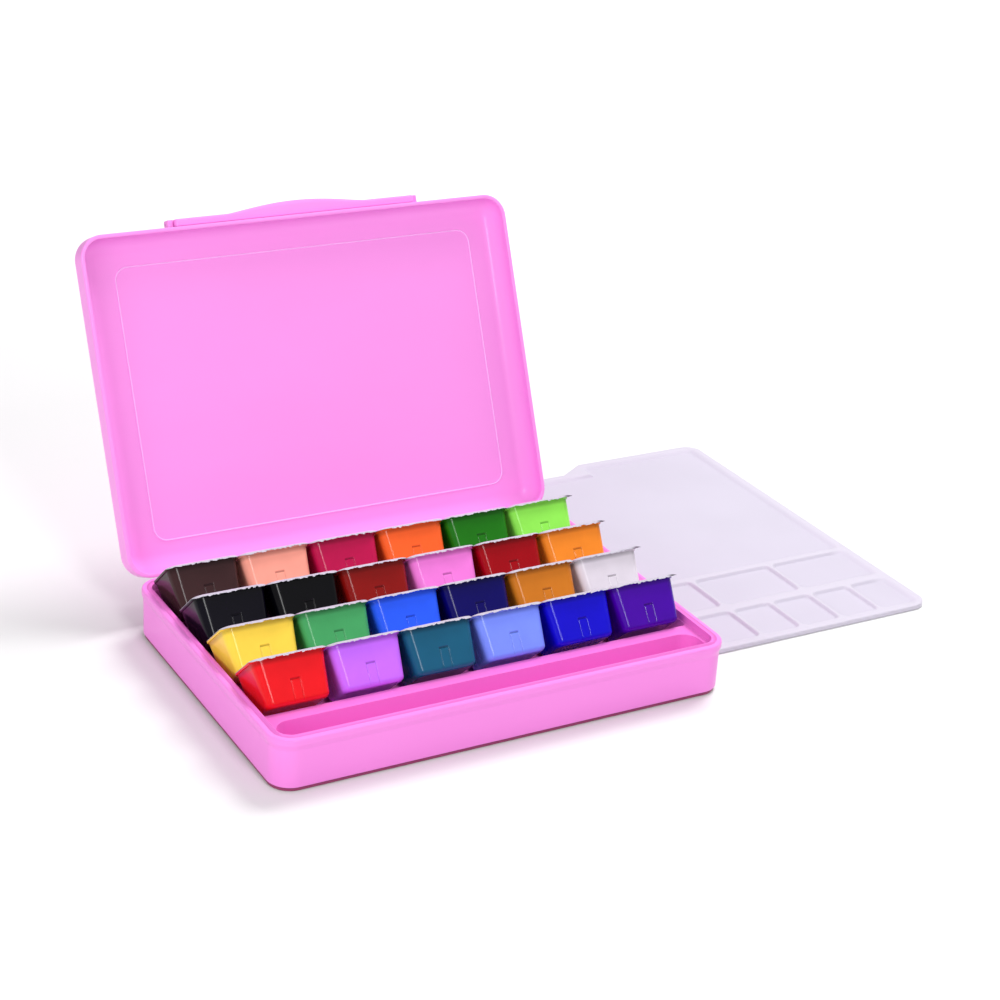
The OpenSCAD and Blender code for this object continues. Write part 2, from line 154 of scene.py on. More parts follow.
# Places along a straight: its ends, a point held near each end, and any marks between them.
def spreadOver(length, hold, marks=()):
    inner = [m for m in marks if hold < m < length - hold]
    return np.unique(np.concatenate([[0, hold, length - hold, length], inner]))


# A rounded rectangle as corner-circle centres and outward normals: a point a distance s inside the
# outline is centre + (radius - s) * normal. marksX and marksY are places, from the middle, where the long
# straights also get points.
def frameAround(width, depth, radius, steps=12, hold=1.0, marksX=(), marksY=()):
    cx, cy = width / 2 - radius, depth / 2 - radius
    alongX = spreadOver(2 * cx, hold, [m + cx for m in marksX]) - cx
    alongY = spreadOver(2 * cy, hold, [m + cy for m in marksY]) - cy
    turn = np.linspace(0, np.pi / 2, steps + 1)[1:-1]
    centres, normals = [], []
    sides = [((0, -1), [(x, -cy) for x in alongX]), ((1, 0), [(cx, y) for y in alongY]),
             ((0, 1), [(x, cy) for x in alongX[::-1]]), ((-1, 0), [(-cx, y) for y in alongY[::-1]])]
    for normal, places in sides:
        base = math.atan2(normal[1], normal[0])
        centres += places + [places[-1]] * len(turn)
        normals += [normal] * len(places) + [(math.cos(base + t), math.sin(base + t)) for t in turn]
    return np.array(centres, float), np.array(normals, float)


# Carries a cross-section round a rounded rectangle. The line holds pairs of distance in from the outline
# and height.
def carried(line, centres, normals, radius):
    out = (radius - line[:, 0])[:, None, None] * normals[None] + centres[None]
    up = np.broadcast_to(line[:, 1][:, None, None], out.shape[:2] + (1,))
    return np.concatenate([out, up], -1)


# A round rod: circles about a line along X, drawn in at both ends.
def rodAlongX(x0, x1, radius, centre, around=40, bevel=0.3):
    stations = np.array([x0, x0 + 0.3 * bevel, x0 + bevel, x0 + 2 * bevel, x1 - 2 * bevel, x1 - bevel,
                         x1 - 0.3 * bevel, x1])
    radii = (radius - bevel * np.array([1, 0.3, 0, 0, 0, 0, 0.3, 1]))[:, None]
    turn = np.linspace(0, 2 * np.pi, around, endpoint=False)
    x = np.broadcast_to(stations[:, None], (len(stations), around))
    return capped(np.stack([x, centre[0] + radii * np.cos(turn), centre[1] + radii * np.sin(turn)], -1))


# A rounded box: each direction of a sphere is moved out to the corner of the inner box that it faces.
def softBlock(low, high, radius, steps=24):
    low, high = np.array(low, float), np.array(high, float)
    turn = (np.arange(steps) + 0.5) * 2 * np.pi / steps
    rise = (np.arange(steps // 2) + 0.5) * np.pi / (steps // 2) - np.pi / 2
    ball = np.stack([np.cos(rise)[:, None] * np.cos(turn), np.cos(rise)[:, None] * np.sin(turn),
                     np.broadcast_to(np.sin(rise)[:, None], (len(rise), steps))], -1)
    rings = (low + high) / 2 + np.sign(ball) * ((high - low) / 2 - radius) + radius * ball
    return capped(rings)


# A skin drawn in millimetres, in metres and put in its place.
def scaled(skin, place=lambda p: p):
    return place(skin[0] * mm), skin[1], skin[2]


# One socket of a node tree. Arithmetic on wires adds Math nodes.
class Wire:
    def __init__(self, tree, socket):
        self.tree, self.socket = tree, socket

    def maths(self, operation, a, b):
        return self.tree.add("ShaderNodeMath", {"operation": operation}, {0: a, 1: b})

    def __add__(self, other):
        return self.maths("ADD", self, other)

    def __radd__(self, other):
        return self.maths("ADD", other, self)

    def __sub__(self, other):
        return self.maths("SUBTRACT", self, other)

    def __rsub__(self, other):
        return self.maths("SUBTRACT", other, self)

    def __mul__(self, other):
        return self.maths("MULTIPLY", self, other)

    def __rmul__(self, other):
        return self.maths("MULTIPLY", other, self)

    def clipped(self):
        return self.tree.add("ShaderNodeClamp", {}, {"Value": self})


# The nodes of a material or of the world.
class NodeSet:
    def __init__(self, tree):
        self.nodes, self.links = tree.nodes, tree.links

    # A node of that kind: its settings, then the values or wires of its sockets.
    def add(self, kind, settings=None, inputs=None, output=0):
        node = self.nodes.new(kind)
        for key, value in (settings or {}).items():
            setattr(node, key, value)
        for key, value in (inputs or {}).items():
            self.put(node.inputs[key], value)
        return Wire(self, node.outputs[output]) if node.outputs else None

    def put(self, socket, value):
        if isinstance(value, Wire):
            self.links.new(value.socket, socket)
        else:
            socket.default_value = value


# A material and its Principled shader, with the shader's constant values.
class Finish(NodeSet):
    def __init__(self, name, **constants):
        self.material = bpy.data.materials.new(name)
        self.material.use_nodes = True
        super().__init__(self.material.node_tree)
        self.shader = next(n for n in self.nodes if n.type == "BSDF_PRINCIPLED")
        for socket, value in constants.items():
            self.put(self.shader.inputs[socket], value)

    # What goes into the shader's sockets, whose names are written with _ for a space.
    def feed(self, **wires):
        for key, value in wires.items():
            self.put(self.shader.inputs[key.replace("_", " ")], value)

    # Object coordinates.
    def places(self):
        return self.add("ShaderNodeTexCoord", output="Object")

    # Noise over the object coordinates, each multiplied by its own stretch first.
    def noise(self, scale, detail=2.0, stretch=(1, 1, 1), roughness=0.5):
        spot = self.add("ShaderNodeMapping", {}, {"Vector": self.places(), "Scale": stretch})
        return self.add("ShaderNodeTexNoise", {}, {"Vector": spot, "Scale": scale, "Detail": detail,
                                                    "Roughness": roughness})

    # first * (1 - mask) + second * mask, channel by channel.
    def blend(self, mask, first, second):
        return self.add("ShaderNodeMix", {"data_type": "RGBA"}, {0: mask, 6: first, 7: second}, output=2)

    # The normal of a surface raised by height.
    def bump(self, height, strength, distance):
        return self.add("ShaderNodeBump", {}, {"Height": height, "Strength": strength, "Distance": distance})


# A colour written as six hex digits, as a linear colour: v / 12.92 near black, and above that
# ((v + 0.055) / 1.055) to the power 2.4.
def colour(code):
    parts = [int(code[k:k + 2], 16) / 255 for k in (1, 3, 5)]
    return tuple(c / 12.92 if c <= 0.04045 else ((c + 0.055) / 1.055) ** 2.4 for c in parts) + (1.0,)


# The same colour made darker or paler: each channel times the factor, at most 1.
def shade(c, factor):
    return tuple(min(1.0, v * factor) for v in c[:3]) + (1.0,)


# Moulded plastic: faint flow marks in the colour, a fine grain and a few soft scuffs. Below the foot's
# height the colour is a deeper pink, painted shade; the line is a paler colour where the mesh marks it, a
# painted highlight.
def mouldedPlastic(name, code, roughness, coat, foot=None, line=None):
    base = colour(code)
    m = Finish(name, **{"IOR": 1.46, "Coat Weight": coat, "Coat Roughness": 0.12,
                        "Specular IOR Level": 0.25})
    flow = m.noise(9.0, 3.0, (1, 1, 2.5))
    tint = m.blend(flow, shade(base, 0.97), shade(base, 1.03))
    scuff = ((m.noise(55.0, 6.0, (1, 4, 2), 0.7) - 0.62) * 6.0).clipped()
    skin = m.blend(scuff * 0.1, tint, shade(base, 1.08))
    # Below the foot's height the colour is painted shade: the deeper pink of the shadowed foot strip.
    if foot:
        height = m.add("ShaderNodeSeparateXYZ", {}, {0: m.places()}, output=2)
        skin = m.blend(((foot[0] - height) * 3000.0 + 0.5).clipped(), skin, colour(foot[1]))
    # Where the mesh marks the lid's raised line, the paler line colour is a painted highlight.
    if line:
        lineHighlight = m.add("ShaderNodeAttribute", {"attribute_name": "pressed"}, output=2)
        skin = m.blend(lineHighlight, skin, colour(line))
    m.feed(Base_Color=skin)
    m.feed(Roughness=roughness + (flow - 0.5) * 0.06 + scuff * 0.1)
    fine = m.noise(1400.0, 2.0)
    m.feed(Normal=m.bump(fine + m.noise(60.0) * 0.6, 0.02, 0.0004))
    return m.material


print("surfaces and finishes ready")


# Lengths are in millimetres. A cross-section starts and ends sectionIn from the outline.
case = {"cornerR": 15.0, "bandH": 5.0, "bandStep": 1.0, "bandDown": 2.2, "bandUp": 1.2, "footStep": 0.8,
        "floor": 2.2, "edgeW": 3.1, "ledge": 2.0, "wallIn": 4.6, "notchIn": 1.7, "notchDown": 6.3,
        "sectionIn": 14.2}
# The foot pink is painted shade for the shadowed foot strip under the base.
# The line pink is a painted highlight for the lid's raised line.
# The tray pink is deeper than the base pink, partly painted shade for the deep trough.
pinks = {"lid": "#F694E5", "base": "#EF88DC", "tray": "#EC76D0", "line": "#FBB4F4", "foot": "#953C67"}
lid = {"height": 15.0, "rim": 2.6, "panel": 2.0, "fillet": 10.0, "round": 3.0, "gap": 0.3,
       "rimInR": 0.8, "rimOutR": 0.9,
       "lineW": 249.0, "lineInset": 20.0, "lineR": 9.0, "lineWide": 1.0, "lineHigh": 0.55}
hinge = {"x": 92.0, "baseKnuckle": 16.0, "lidKnuckle": 8.0, "gap": 0.3, "radius": 2.9, "axisBack": 1.5,
         "armIn": 2.6, "armBack": 1.0, "armUp": 2.0, "armShort": 0.1, "baseArmR": 0.3, "lidArmR": 0.5}
handle = {"length": 166.0, "height": 11.0, "thick": 4.7, "grip": 88.0, "rise": 4.4, "gap": 0.35,
          "innerR": 0.7, "outerR": 1.3, "endRound": 1.2, "fade": 4.0, "power": 1.35,
          "axisUp": 11.7, "lug": 3.7, "lugGap": 0.3, "lugFoot": 2.7, "lugIn": 1.0, "lugR": 0.6}
tray = {"flangeIn": 3.14, "flangeW": 4.2, "plainW": 3.7, "round": 0.7, "roundSteps": 3, "cornerCuts": 5,
        "sharpDegrees": 35, "flatDegrees": 0.6}

handlePink = mouldedPlastic("handlePink", pinks["lid"], 0.34, 0.15)
lidPink = mouldedPlastic("lidPink", pinks["lid"], 0.34, 0.15, line=pinks["line"])
# The tray's deeper pink is partly painted shade for its deep trough.
trayPink = mouldedPlastic("trayPink", pinks["tray"], 0.36, 0.12)
# The base's foot strip gets the deeper foot pink: painted shade.
basePink = mouldedPlastic("basePink", pinks["base"], 0.34, 0.15, foot=(case["floor"] * mm, pinks["foot"]))

baseLow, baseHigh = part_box("base_shell")
boxW = (baseHigh.x - baseLow.x) / mm
baseH = baseHigh.z / mm
lidPivot = np.array(jointNamed("lid_hinge")["pos_m"]) / mm
boxD = 2 * (lidPivot[1] - hinge["axisBack"])
rimZ = baseH + lid["gap"]


# Points of the shut lid, turned to where they are with the lid open.
def asOpened(points):
    return turnedBack(points, "lid_hinge")


# The base is one cross-section, from the middle of its underside out, up and back in to the middle of its
# floor, carried round the case. The second list holds the radius of each of its corners in turn. At the
# back it steps in for the lid's knuckles.
def buildBase():
    c = case
    bandZ = baseH - c["bandH"]
    section = roundedLine(
        [(c["sectionIn"], 0), (c["bandStep"] + c["footStep"], 0),
         (c["bandStep"] + c["footStep"], c["floor"]), (c["bandStep"], c["floor"]),
         (c["bandStep"], bandZ - c["bandDown"]), (0, bandZ + c["bandUp"]), (0, baseH),
         (c["edgeW"], baseH), (c["edgeW"], baseH - c["ledge"]),
         (c["wallIn"], baseH - c["ledge"]), (c["wallIn"], c["floor"]), (c["sectionIn"], c["floor"])],
        [0.5, 0.3, 0.7, 2.5, 2.5, 1.5, 0.15, 0.1, 0.3, 1.5], hold=0.2)
    h = hinge
    notchHalf = h["lidKnuckle"] / 2 + h["gap"]
    marks = []
    for side in (-1, 1):
        for knuckle in (-1, 1):
            middle = side * h["x"] + knuckle * (h["baseKnuckle"] / 2 + notchHalf)
            marks += [middle + way * (notchHalf + beside) for way in (-1, 1) for beside in (0, 0.05)]
    centres, normals = frameAround(boxW, boxD, c["cornerR"], 14, 1.2, marksX=marks)
    rings = carried(section, centres, normals, c["cornerR"])
    knuckleMiddle = np.abs(np.abs(rings[..., 0]) - h["x"]) - h["baseKnuckle"] / 2 - notchHalf
    inNotch = (np.abs(knuckleMiddle) < notchHalf + 0.01) & (rings[..., 2] > baseH - c["notchDown"])
    atBack = rings[..., 1] > boxD / 2 - c["notchIn"]
    rings[..., 1] = np.where(inNotch & atBack, boxD / 2 - c["notchIn"], rings[..., 1])
    skins = [scaled(capped(rings))]
    for side in (-1, 1):
        x0 = side * h["x"] - h["baseKnuckle"] / 2
        x1 = x0 + h["baseKnuckle"]
        skins.append(scaled(rodAlongX(x0, x1, h["radius"], lidPivot[1:])))
        skins.append(scaled(softBlock((x0, boxD / 2 - h["armIn"], lidPivot[2] - h["radius"]),
                                      (x1, lidPivot[1], lidPivot[2] + h["radius"] - h["armShort"]),
                                      h["baseArmR"])))
    makePiece("baseShell", skins, "base", basePink, ["base_shell"])


# The lid is one cross-section, from the middle of its inside out to the rim and over the outside, carried
# round the case. The raised line is a low arch carried round its own rectangle.
def buildLid():
    top = lid["height"]
    inside = top - lid["panel"]
    section = roundedLine(
        [(case["sectionIn"], inside), (lid["rim"], inside), (lid["rim"], 0), (0, 0), (0, top),
         (case["sectionIn"], top)],
        [lid["fillet"], lid["rimInR"], lid["rimOutR"], lid["round"]], 9, 0.4)
    section[:, 1] += rimZ
    centres, normals = frameAround(boxW, boxD, case["cornerR"], 16, 1.5)
    skins = [scaled(capped(carried(section, centres, normals, case["cornerR"])), asOpened)]
    lineD = boxD - 2 * lid["lineInset"]
    centres, normals = frameAround(lid["lineW"], lineD, lid["lineR"], 12, 1.0)
    turn = np.linspace(0, 2 * np.pi, 16, endpoint=False)
    arch = np.stack([lid["lineWide"] / 2 * (1 + np.cos(turn)),
                     inside + rimZ - lid["lineHigh"] * np.sin(turn)], -1)
    skins.append(scaled(hooped(carried(arch, centres, normals, lid["lineR"])), asOpened))
    h = hinge
    for side in (-1, 1):
        for knuckle in (-1, 1):
            middle = side * h["x"] + knuckle * (h["baseKnuckle"] / 2 + h["gap"] + h["lidKnuckle"] / 2)
            x0, x1 = middle - h["lidKnuckle"] / 2, middle + h["lidKnuckle"] / 2
            skins.append(scaled(rodAlongX(x0, x1, h["radius"], lidPivot[1:]), asOpened))
            arm = softBlock((x0, lidPivot[1] - h["radius"] + h["armShort"], lidPivot[2]),
                            (x1, lidPivot[1] + h["armBack"], rimZ + h["armUp"]), h["lidArmR"])
            skins.append(scaled(arm, asOpened))
    axis = handleAxis()
    half = handle["thick"] / 2
    for side in (-1, 1):
        x0 = side * (handle["length"] / 2 + handle["lugGap"] + handle["lug"] / 2) - handle["lug"] / 2
        x1 = x0 + handle["lug"]
        skins.append(scaled(rodAlongX(x0, x1, half, axis), asOpened))
        foot = softBlock((x0, axis[0] - half, axis[1] - half - handle["lugFoot"]),
                         (x1, -boxD / 2 + handle["lugIn"], axis[1]), handle["lugR"])
        skins.append(scaled(foot, asOpened))
    # The raised line's skin is marked, so that its material paints a paler highlight along it.
    marked = np.concatenate([np.full(len(skin[0]), index == 1, float) for index, skin in enumerate(skins)])
    makePiece("lidShell", skins, "lid", lidPink, ["lid_shell"], marked=marked)


# Y and Z of the handle's axis with the lid shut, in millimetres.
def handleAxis():
    return np.array([-boxD / 2 - handle["gap"] - handle["thick"] / 2, rimZ + handle["axisUp"]])


# The handle is one rounded cross-section carried along X. Its outer side swells by
# rise * (1 - (x / reach) ^ 2) ^ power, where the reach is half the grip and a little more, and the section
# draws in at both ends by a quarter circle.
def buildHandle():
    h = handle
    half, drop = h["thick"] / 2, h["height"] - h["thick"] / 2
    ends = np.array([0, 0.15, 0.5, 1.0, 1.6, 2.4])
    reach = h["grip"] / 2 + h["fade"]
    x = np.concatenate([-h["length"] / 2 + ends, np.linspace(-reach - h["fade"], reach + h["fade"], 61),
                        h["length"] / 2 - ends[::-1]])
    share = np.clip(np.abs(x) / reach, 0, 1)
    swell = h["rise"] * (1 - share ** 2) ** h["power"]
    fromEnd = np.clip((h["length"] / 2 - np.abs(x)) / h["endRound"], 0, 1)
    inset = h["endRound"] * (1 - np.sqrt(np.clip(1 - (1 - fromEnd) ** 2, 0, 1)))
    corners = [(0, -drop), (half, -drop), (half, half), (-half, half), (-half, -drop), (0, -drop)]
    section = roundedLine(corners, [h["innerR"], half - 0.05, half - 0.05, h["outerR"]], 8, 0.1)[1:]
    # 1 on the outer side of the bar, falling to 0 on its inner side and over its top
    outer = np.clip((-section[:, 0] + 0.2) / half, 0, 1) * np.clip((1.6 - section[:, 1]) / 2.2, 0, 1)
    middle = np.array([0, (half - drop) / 2])
    towards = middle - section
    towards /= np.linalg.norm(towards, axis=1)[:, None]
    yz = section[None] + inset[:, None, None] * towards[None]
    yz[..., 0] -= swell[:, None] * outer[None]
    rings = np.concatenate([np.broadcast_to(x[:, None, None], yz.shape[:2] + (1,)), yz + handleAxis()], -1)
    makePiece("carryHandle", [scaled(capped(rings), asOpened)], "handle", handlePink, ["carry_handle"])


# How far a place lies inside the case's outline, seen from above, and the direction straight out: in a
# corner, the radius less the distance from the corner's centre, and else the distance from the side.
def insideOutline(spot):
    reach = case["cornerR"] * mm
    x = abs(spot.x) - boxW / 2 * mm + reach
    y = abs(spot.y) - boxD / 2 * mm + reach
    if x > 0 and y > 0:
        out, distance = Vector((x, y, 0)).normalized(), reach - math.hypot(x, y)
    else:
        out, distance = Vector((1, 0, 0) if x > y else (0, 1, 0)), reach - max(x, y)
    return distance, Vector((math.copysign(out.x, spot.x), math.copysign(out.y, spot.y), 0))


# The tray keeps its modelled shape: a merged copy whose edges are rounded over, but not those within
# plainW of the case's outline. Its flange, within flangeW of that, is moved out to meet the case.
def buildTray():
    t = tray
    b = bmesh.new()
    b.from_mesh(frame["nodes"]["cup_tray"].data)
    bmesh.ops.remove_doubles(b, verts=b.verts, dist=1e-6)
    bmesh.ops.dissolve_limit(b, angle_limit=math.radians(t["flatDegrees"]), verts=b.verts, edges=b.edges)
    weight = b.edges.layers.float.new("bevel_weight_edge")
    for edge in b.edges:
        middle = (edge.verts[0].co + edge.verts[1].co) / 2
        corner = edge.calc_face_angle(0) > math.radians(t["sharpDegrees"])
        edge[weight] = 1.0 if corner and insideOutline(middle)[0] > t["plainW"] * mm else 0.0
    near = [edge for edge in b.edges if abs(edge.verts[0].co.z - edge.verts[1].co.z) < 1e-5
            and all(insideOutline(spot.co)[0] < t["plainW"] * mm for spot in edge.verts)
            and edge.calc_length() < case["cornerR"] * mm]
    bmesh.ops.subdivide_edges(b, edges=near, cuts=t["cornerCuts"])
    for spot in b.verts:
        distance, direction = insideOutline(spot.co)
        if distance < t["flangeW"] * mm:
            spot.co += direction * (distance - t["flangeIn"] * mm)
    for face in b.faces:
        face.smooth = True
    mesh = bpy.data.meshes.new("cupTray")
    b.to_mesh(mesh)
    b.free()
    mesh.materials.append(trayPink)
    piece = bpy.data.objects.new("cupTray", mesh)
    bpy.context.scene.collection.objects.link(piece)
    soften = piece.modifiers.new("softEdges", "BEVEL")
    soften.width = t["round"] * mm
    soften.segments = t["roundSteps"]
    soften.limit_method = "WEIGHT"
    soften.harden_normals = True
    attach(piece, "base")
    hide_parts("cup_tray")


buildBase()
buildLid()
buildHandle()
buildTray()
print("case built")


cup = {"height": 28.0, "mouthW": 44.5, "mouthD": 33.6, "mouthR": 5.6, "footCornerR": 4.4, "draft": 6.0,
       "lipW": 0.75, "lipT": 1.2, "wall": 0.9, "bottom": 2.4, "footR": 3.0, "sectionIn": 8.0,
       "endRoom": 0.8, "pivotBack": 23.3, "pivotUp": 18.2, "shadeFrom": 23.6, "shadeTo": 25.4}
mark = {"half": 2.8, "top": 13.4, "lineHalf": 0.3, "lineDeep": 0.2, "barHalf": 0.5, "barDeep": 0.6,
        "blend": 0.3, "beside": 1.2, "step": 0.2}
foil = {"thick": 0.12, "lift": 0.02, "front": 2.9, "drop": 2.1, "teeth": 1.2, "side": 0.22, "wrinkle": 0.16,
        "tab": 3.0, "span": 17.0, "step": 0.55, "dark": "#B6B1C0", "pale": "#D4D0DC", "tabGrey": "#55505C"}
paints = {
    "dark_brown": "#3A2224", "salmon": "#F5A08E", "crimson": "#B8114B", "orange": "#F5622A",
    "dark_green": "#1C7112", "lime": "#8FE755", "violet_black": "#060410", "black": "#030307",
    "brick_red": "#86100E", "orchid": "#F07DD9", "deep_red": "#9C0010", "golden_orange": "#F08828",
    "yellow": "#F6D04A", "green": "#45A060", "blue": "#2A5CF5", "navy": "#08025C", "ochre": "#CB7620",
    "white": "#DDD5DF", "red": "#E4161F", "lilac": "#C46CFF", "teal": "#185A78", "periwinkle": "#7890FF",
    "ultramarine": "#1208C5", "violet": "#4500A0"}


# A cup lying flat, its bottom at z = 0. Each ring is a rounded rectangle whose sizes and corner radius
# change along a cross-section that runs from the middle of the bottom up the wall, over the flange and
# down inside. The mark is pressed in against the normal: two thin upright lines under a short bar.
def cupRings():
    c = cup
    lean = math.tan(math.radians(c["draft"]))
    full = c["height"] * lean
    section = roundedLine([(c["sectionIn"], 0), (full, 0), (c["lipT"] * lean, c["height"] - c["lipT"]),
                           (-c["lipW"], c["height"] - c["lipT"]), (-c["lipW"], c["height"]),
                           (c["wall"], c["height"]), (full + 0.6, c["bottom"]),
                           (c["sectionIn"], c["bottom"])],
                          [c["footR"], 0.25, 0.2, 0.35, 0.5, 0.6], 8, 0.15)
    # The wall gets close rows of points up to the mark, and a few above it.
    start = int(np.argmax(section[:, 1] > c["footR"] + 0.3))
    heights = np.concatenate([np.arange(c["footR"] + 0.7, mark["top"] + 1.3, 0.3),
                              [17, 19.5, 22, 23.4, 24.2, 25, 25.7]])
    wall = np.stack([(c["height"] - heights) * lean, heights], -1)
    line = np.vstack([section[:start], wall, section[start:]])
    inward, up = line[:, 0], line[:, 1]
    radius = np.clip(c["footCornerR"] + (c["mouthR"] - c["footCornerR"]) * up / c["height"], 0.5, None)
    radius = np.where(inward < 0, radius - inward, radius)
    radius = np.minimum(radius, (c["mouthD"] / 2 - inward) * 0.98)
    reach = mark["half"] + mark["beside"]
    marks = np.arange(-reach, reach + 0.01, mark["step"])
    anchors, normals = frameAround(c["mouthW"], c["mouthD"], c["mouthR"], 10, c["endRoom"], marks, marks)
    # A point is a corner of the ring's inner rectangle, or a place on its side, plus radius * normal.
    half = np.array([c["mouthW"], c["mouthD"]]) / 2
    inner = half[None] - inward[:, None] - radius[:, None]
    share = anchors / (half - c["mouthR"])
    room = np.where(np.abs(share) < 0.97, c["endRoom"], 0)
    centres = np.sign(share) * np.minimum(np.where(room > 0, np.abs(anchors), 99)[None],
                                          inner[:, None, :] - room[None])
    rings = centres + radius[:, None, None] * normals[None]
    onWall = (up > 0.9) & (np.arange(len(line)) < start + len(wall))
    flat = np.max(np.abs(normals), 1) > 0.999
    across = np.abs(np.where(np.abs(normals[:, 0]) > 0.5, anchors[:, 1], anchors[:, 0]))
    inLine = np.clip(1.5 - np.abs(across - mark["half"]) / mark["lineHalf"], 0, 1) * flat
    below = np.clip((mark["top"] - up) / mark["blend"], 0, 1)
    inBar = np.clip(1.5 - np.abs(up - mark["top"]) / mark["barHalf"], 0, 1)
    frontBack = np.abs(normals[:, 1]) > 0.999
    alongBar = np.clip((mark["half"] + mark["lineHalf"] - across) / mark["blend"], 0, 1) * frontBack
    pressed = np.maximum(mark["lineDeep"] * inLine[None] * below[:, None],
                         mark["barDeep"] * inBar[:, None] * alongBar[None]) * onWall[:, None]
    rings = rings - pressed[..., None] * normals[None]
    rings = np.concatenate([rings, np.broadcast_to(up[:, None, None], rings.shape[:2] + (1,))], -1)
    # The colour is painted shade in the pressed mark and in the corner under the flange, where light hardly
    # comes.
    flangeShade = np.clip((up - c["shadeFrom"]) / (c["shadeTo"] - c["shadeFrom"]), 0, 1)
    flangeShade = flangeShade * (np.arange(len(line)) < start + len(wall) + 3)
    paintedShade = np.maximum(pressed / mark["barDeep"], flangeShade[:, None] * np.ones(len(normals)))
    return rings, np.append(paintedShade.ravel(), [0, 0])


# A foil seal: rings grown from the middle of the mouth to its edge, top and underside. Its front edge is
# torn along a jagged line and folded down over the flange. Its wrinkles are the product of two sines, one
# bent by a third, and the edge is flat.
def sealRings(seed, tab):
    c, f = cup, foil
    rng = np.random.default_rng(seed)
    marks = np.arange(-f["span"], f["span"] + 0.1, f["step"])
    anchors, normals = frameAround(c["mouthW"], c["mouthD"], c["mouthR"], 6, c["endRoom"], marks, marks)
    rim = anchors + (c["mouthR"] + c["lipW"]) * normals
    n = len(anchors)
    front = np.clip(-normals[:, 1] * 1.15 - 0.15, 0, 1)
    steps = rng.random(n)
    jag = np.repeat(rng.random(n // 3 + 1), 3)[:n] * 0.65 + steps * 0.35
    rim = rim + (f["side"] * steps * (normals[:, 1] < 0.3))[:, None] * normals
    share = np.concatenate([np.linspace(0.04, 0.9, 12), [0.94, 0.97, 0.985, 1.0]])
    flat = share[:, None, None] * rim[None]
    x, y = flat[..., 0], flat[..., 1]
    a, b, d = rng.uniform(0, 6.28, 3)
    wave = np.sin(0.55 * x + a + 0.6 * np.sin(0.31 * y + b)) * np.sin(0.47 * y + d) * f["wrinkle"]
    sink = 1 - np.clip((share - 0.85) / 0.08, 0, 1)[:, None]
    z = c["height"] + f["lift"] + (wave - 0.25) * sink
    # The folded strip: past the rim each ring goes forward by its share of the strip's length, and down
    # by that share squared.
    fold = np.array([0.25, 0.5, 0.75, 1.0])
    length = front * (f["front"] - f["teeth"] * jag)
    forward = fold[:, None] * length[None]
    hang = (f["drop"] * fold[:, None] ** 2) * front[None] * (0.55 + 0.45 * jag[None])
    corner = (normals[:, 0] > 0.25) & (normals[:, 1] < -0.25) & tab
    strip = rim[None] + forward[..., None] * normals[None]
    strip = strip + fold[:, None, None] * corner[None, :, None] * np.array([f["tab"] - 1.2, -f["tab"] * 0.5])
    flat = np.concatenate([flat, strip])
    z = np.concatenate([z, z[-1:] + 0.05 - hang])
    upper = np.concatenate([flat, (z + f["thick"])[..., None]], -1)
    lower = np.concatenate([flat, z[..., None]], -1)
    tabMask = np.concatenate([np.zeros(len(share)), fold])[:, None] * corner[None]
    return np.vstack([upper, lower[::-1]]), np.append(np.vstack([tabMask, tabMask[::-1]]).ravel(), [0, 0])


# Puts a lying cup, drawn about the middle of its bottom, in its tipped place.
def cupPlace(name):
    pivot = np.array(jointNamed("tilt_" + name)["pos_m"])
    lipDepth = cup["mouthD"] + 2 * cup["lipW"]
    shift = pivot + np.array([0, (lipDepth / 2 - cup["pivotBack"]) * mm, -cup["pivotUp"] * mm])
    return lambda p: turnedBack(p + shift, "tilt_" + name)


# Thin glossy plastic with the paint behind it: a slow change of depth and small rubbed spots, and painted
# shade, deeper in colour, where the mesh marks the pressed mark and the corner under the flange.
def cupPlastic(name, code):
    base = colour(code)
    m = Finish("cupPlastic_" + name, **{"IOR": 1.5, "Coat Weight": 0.04, "Coat Roughness": 0.1,
                                         "Specular IOR Level": 0.2})
    depth = m.noise(70.0, 3.0)
    tint = m.blend(depth, shade(base, 0.9), shade(base, 1.1))
    rub = ((m.noise(420.0, 5.0, (1, 3, 1), 0.7) - 0.68) * 7.0).clipped()
    pale = tuple(0.2 + 0.8 * v for v in base[:3]) + (1,)
    # Where the mesh marks it, the colour goes towards 0.3 of the base: painted shade.
    pressed = m.add("ShaderNodeAttribute", {"attribute_name": "pressed"}, output=2)
    m.feed(Base_Color=m.blend(pressed * 0.55, m.blend(rub * 0.1, tint, pale), shade(base, 0.3)))
    m.feed(Roughness=0.18 + rub * 0.2 + (depth - 0.5) * 0.06)
    m.feed(Normal=m.bump(m.noise(160.0, 2.0), 0.06, 0.0006))
    return m.material


# White-coated foil: metal under a pale coat, with fine crinkles, and a darker grey on the corner tabs.
def foilFinish():
    m = Finish("sealFoil", **{"Coat Weight": 0.2, "Coat Roughness": 0.3})
    crease = m.noise(320.0, 4.0, (1, 1.6, 1), 0.6)
    tabMask = m.add("ShaderNodeAttribute", {"attribute_name": "pressed"}, output=2)
    coated = m.blend(crease, colour(foil["dark"]), colour(foil["pale"]))
    m.feed(Base_Color=m.blend((tabMask * 1.6).clipped(), coated, colour(foil["tabGrey"])))
    m.feed(Roughness=0.32 + crease * 0.2)
    m.feed(Metallic=0.04 + crease * 0.1)
    m.feed(Normal=m.bump(crease + m.noise(900.0, 2.0) * 0.4, 0.5, 0.0008))
    return m.material


